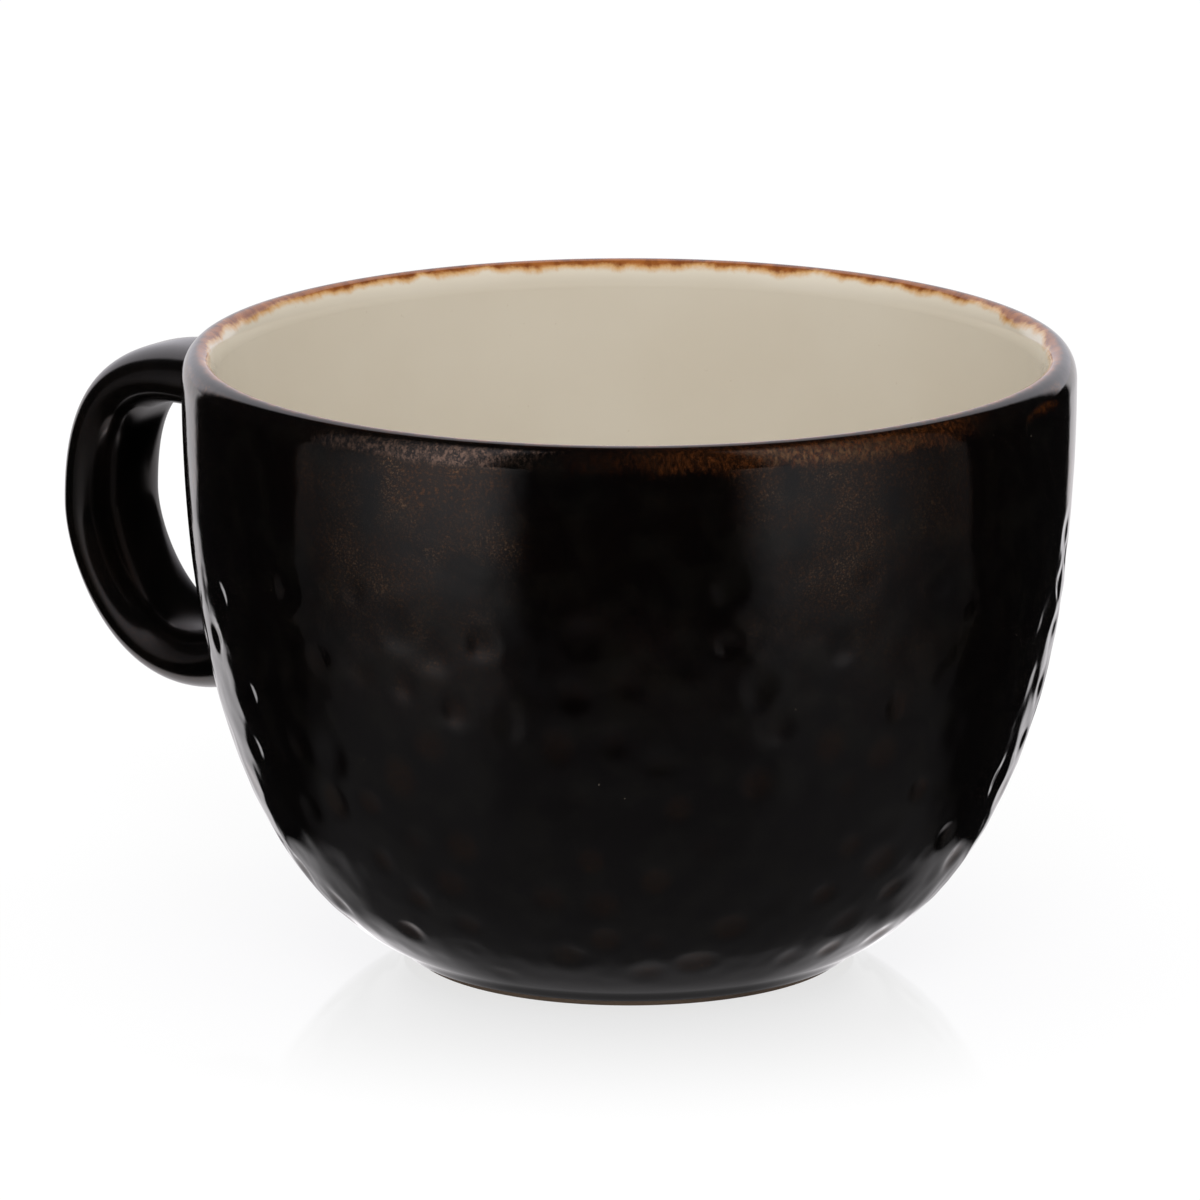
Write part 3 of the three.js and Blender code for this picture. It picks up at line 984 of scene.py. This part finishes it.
# %% Strap rings
STRAP_WIDTH = 16.4 * MM
STRAP_CROWN = 0.5
TAIL_SWELL = 0.8 * MM
FLARE_HEIGHT = 3.2 * MM
SECTION_SIDES = 64
STRAP_RINGS = 120

section_turn = np.linspace(0, 2 * math.pi, SECTION_SIDES, endpoint=False)
across_face = np.sign(np.sin(section_turn)) * np.abs(np.sin(section_turn)) ** STRAP_CROWN
slopes = headings(path)
last_station = PATH_POINTS - 1
ear_station = int(np.argmax(path[:, 0]))


def ring_at(station, grow):
    """One ring of the strap, on the -X side of the bowl."""
    outward = np.array([-slopes[station, 1], slopes[station, 0]])
    along_tail = max(0, (station - ear_station) / (last_station - ear_station))
    edge_radius = STRAP_THICKNESS / 2 + TAIL_SWELL * along_tail ** 2 + grow
    deep = np.cos(section_turn) * edge_radius
    wide = np.sin(section_turn) * edge_radius + across_face * (STRAP_WIDTH - STRAP_THICKNESS) / 2
    upright = path[station] + deep[:, None] * outward
    return np.stack([AXIS_X - upright[:, 0], wide, upright[:, 1]], axis=1)


first_station = int(PATH_POINTS * FLARE_HEIGHT / path_length)
stations = np.linspace(first_station, last_station - first_station, STRAP_RINGS).round().astype(int)
strap_rings = [ring_at(k, 0) for k in stations]
print(len(strap_rings), "strap rings of", SECTION_SIDES, "corners")

# %% Flared ends on the wall
FLARE = 2.4 * MM
FLARE_RINGS = 12
LONGEST_DROP = 30 * MM
SINK = 0.3 * MM

coat_tree = BVHTree.FromPolygons(
    [v.co for v in coat.data.vertices], [p.vertices for p in coat.data.polygons])


def landing(station, sign):
    """Rings that open from the strap's end onto the wall, the outermost last."""
    heading = Vector((-slopes[station, 0], 0, slopes[station, 1])) * sign
    rings = []
    for angle in np.linspace(0, math.pi / 2, FLARE_RINGS + 1)[1:]:
        ring = ring_at(station, FLARE * (1 - math.cos(angle)))
        drops = [coat_tree.ray_cast(Vector(corner), heading, LONGEST_DROP)[3] for corner in ring]
        rings.append(ring + np.outer(np.array(drops) * math.sin(angle), heading))
    rings.append(rings[-1] + np.array(heading) * SINK)
    return rings


upper_rings = landing(stations[0], -1)
lower_rings = landing(stations[-1], 1)
rings = upper_rings[::-1] + strap_rings + lower_rings
print(len(rings), "rings in all")

# %% Handle glaze
handle_glaze, tree = new_finish("handle glaze")
mottle = blend(tree, noise(tree, 150, 4.0).fade(0.35, 0.7), tone(2, 2, 2), tone(6, 4, 3))
mottle = blend(tree, noise(tree, 2400, 2.0).fade(0.8, 0.84) * 0.5, mottle, tone(110, 98, 86))
relief = uneven(tree, 0.2, 0.08 * MM, noise(tree, 220, 2.0))
glaze = gloss(tree, mottle, 0.1 + noise(tree, 300, 3.0) * 0.1, relief, GLAZE_IOR)
specks = noise(tree, 3400, 3.0, rough=0.7).fade(0.45, 0.7) * noise(tree, 60, 2.0).fade(0.3, 0.6)
surface(tree, with_iron(tree, glaze, 0.015 + 0.11 * specks, tone(164, 112, 78), 0.18, relief))
print("handle glaze has", len(handle_glaze.node_tree.nodes), "nodes")

# %% Handle piece
faces = []
for start in range(0, (len(rings) - 1) * SECTION_SIDES, SECTION_SIDES):
    for i in range(SECTION_SIDES):
        j = (i + 1) % SECTION_SIDES
        faces.append([start + i, start + j, start + SECTION_SIDES + j, start + SECTION_SIDES + i])
last = (len(rings) - 1) * SECTION_SIDES
faces.append(list(range(SECTION_SIDES))[::-1])
faces.append([last + i for i in range(SECTION_SIDES)])

mesh = bpy.data.meshes.new("glazed_handle")
mesh.from_pydata(np.concatenate(rings).tolist(), [], faces)
mesh.polygons.foreach_set("use_smooth", [True] * len(mesh.polygons))
mesh.materials.append(handle_glaze)
handle = placed("glazed_handle", mesh)
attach(handle, "root")
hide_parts("handle", "handle_glaze", "upper_slip_joint", "lower_slip_joint")
print("handle has", triangles(mesh), "triangles")
